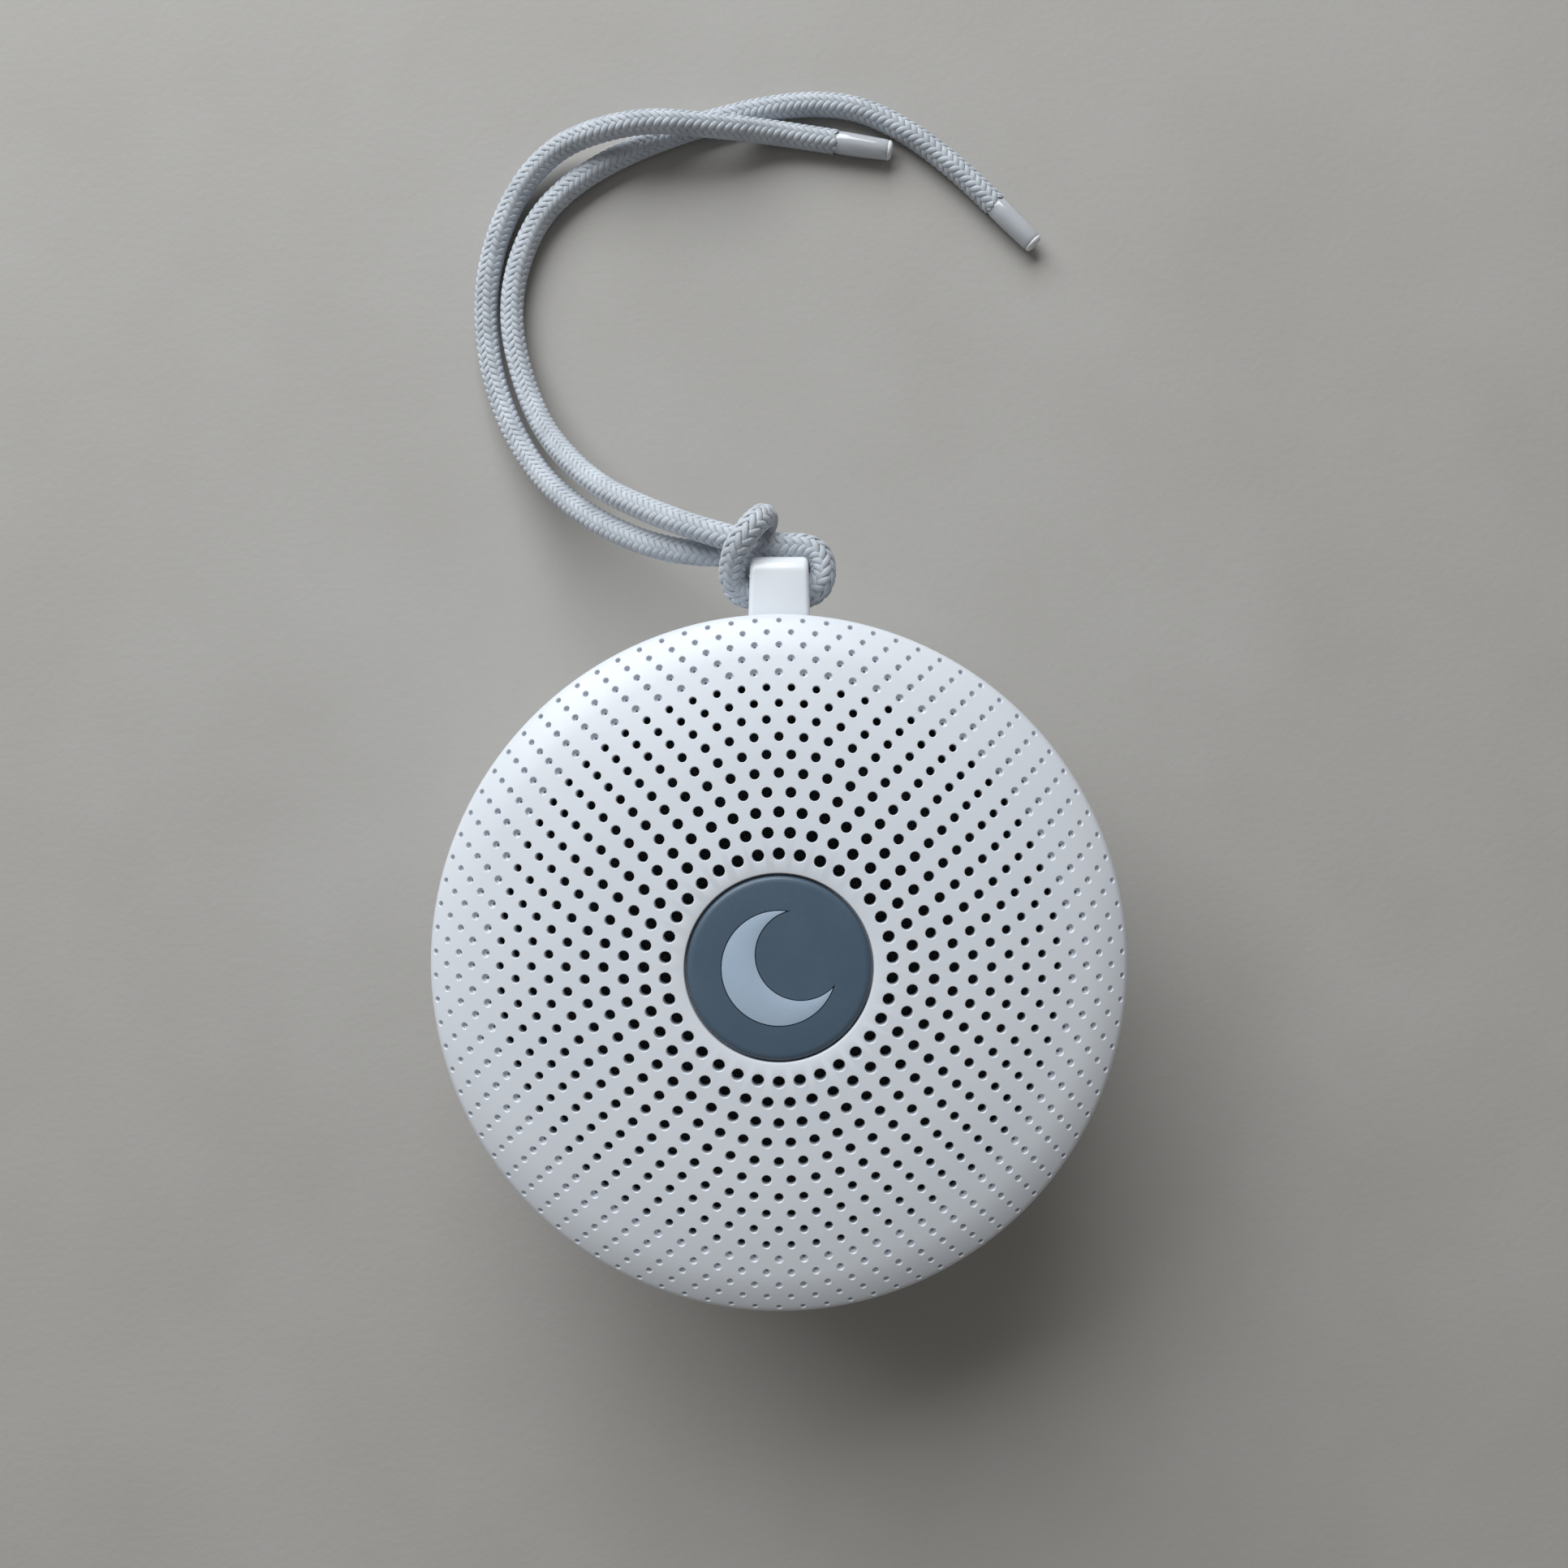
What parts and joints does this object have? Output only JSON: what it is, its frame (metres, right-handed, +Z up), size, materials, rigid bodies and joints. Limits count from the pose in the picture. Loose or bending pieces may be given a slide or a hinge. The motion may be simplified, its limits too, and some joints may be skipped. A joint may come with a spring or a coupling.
{
  "type": "white noise sound machine",
  "caption": "Round palm-sized sound machine: domed perforated grille, slate centre cap, side buttons, light ring and a hitched wrist cord.",
  "frame": {"origin": "on the puck's axis, on the surface that its foot stands on", "axes": "+Z up through the centre cap, +Y towards the strap lug, -Y towards the row of buttons"},
  "size_m": [0.0886, 0.168, 0.0448],
  "materials": {
    "foot_rubber": "matt",
    "shell_white": "satin, fine grain",
    "screw_steel": "plain",
    "ring_diffuser": "milky, lit from inside",
    "foam": "open-cell foam",
    "battery_foil": "laminated foil",
    "wire_jacket": "flexible jacket",
    "connector_white": "nylon",
    "board_green": "solder mask",
    "chip_black": "moulded",
    "switch_black": "moulded",
    "socket_steel": "drawn shell",
    "led_lens": "lens",
    "light_pipe": "clear rod",
    "plated_steel": "zinc plated",
    "ferrite": "sintered",
    "basket_black": "pressed steel, black",
    "spider_cloth": "varnished cloth",
    "surround_rubber": "rolled",
    "cone_paper": "pulp",
    "coil_copper": "wound copper",
    "inner_black": "moulded",
    "grille_cloth": "woven",
    "grille_white": "satin, fine grain",
    "cap_slate": "satin",
    "inlay_blue": "milky",
    "button_grey": "satin",
    "braid": "braided",
    "aglet_clear": "clear shrink sleeve"
  },
  "bodies": {
    "housing": {"foot_pad": "foot_rubber", "base_cover": "shell_white", "case_screws": "screw_steel", "light_ring": "ring_diffuser", "main_housing": "shell_white", "strap_lug": "shell_white", "battery_pad": "foam", "battery_cell": "battery_foil", "battery_wires": "wire_jacket", "battery_plug": "connector_white", "main_board": "board_green", "board_screws": "screw_steel", "board_chips": "chip_black", "wire_headers": "connector_white", "switch_bodies": "switch_black", "usb_c_shell": "socket_steel", "usb_c_tongue": "chip_black", "status_led": "led_lens", "status_light_pipe": "light_pipe", "night_leds": "led_lens", "speaker_yoke": "plated_steel", "speaker_magnet": "ferrite", "speaker_top_plate": "plated_steel", "speaker_basket": "basket_black", "speaker_gasket": "foam", "speaker_screws": "screw_steel", "speaker_spider": "spider_cloth", "speaker_surround": "surround_rubber", "speaker_wires": "wire_jacket", "speaker_plug": "connector_white", "baffle_plate": "inner_black", "dust_cloth": "grille_cloth", "grille": "grille_white", "centre_cap": "cap_slate", "cap_inlay": "inlay_blue", "cap_push_nut": "plated_steel", "lanyard_long": "braid", "lanyard_short": "braid", "aglet_long": "aglet_clear", "aglet_short": "aglet_clear"},
    "speaker_moving_part": {"speaker_cone": "cone_paper", "voice_coil": "coil_copper", "speaker_dust_cap": "cone_paper"},
    "power_key": {"power_button": "button_grey", "power_plunger": "switch_black"},
    "sound_down_key": {"sound_down_button": "button_grey", "sound_down_plunger": "switch_black"},
    "light_key": {"light_button": "button_grey", "light_plunger": "switch_black"},
    "sound_up_key": {"sound_up_button": "button_grey", "sound_up_plunger": "switch_black"},
    "timer_key": {"timer_button": "button_grey", "timer_plunger": "switch_black"}
  },
  "joints": [
    {"name": "speaker_travel", "type": "slide", "parent": "housing", "child": "speaker_moving_part", "axis": [0, 0, 1], "range_m": [-0.0005, 0.0005], "stiffness_N_per_m": 2000, "deforming": ["speaker_surround"]},
    {"name": "power_press", "type": "slide", "parent": "housing", "child": "power_key", "axis": [0.4999, 0.8661, 0], "range_m": [0, 0.00035], "stiffness_N_per_m": 3000},
    {"name": "sound_down_press", "type": "slide", "parent": "housing", "child": "sound_down_key", "axis": [0.2588, 0.9659, 0], "range_m": [0, 0.00035], "stiffness_N_per_m": 3000},
    {"name": "light_press", "type": "slide", "parent": "housing", "child": "light_key", "axis": [0, 1, 0], "range_m": [0, 0.00035], "stiffness_N_per_m": 3000},
    {"name": "sound_up_press", "type": "slide", "parent": "housing", "child": "sound_up_key", "axis": [-0.2588, 0.9659, 0], "range_m": [0, 0.00035], "stiffness_N_per_m": 3000},
    {"name": "timer_press", "type": "slide", "parent": "housing", "child": "timer_key", "axis": [-0.4999, 0.8661, 0], "range_m": [0, 0.00035], "stiffness_N_per_m": 3000}
  ]
}
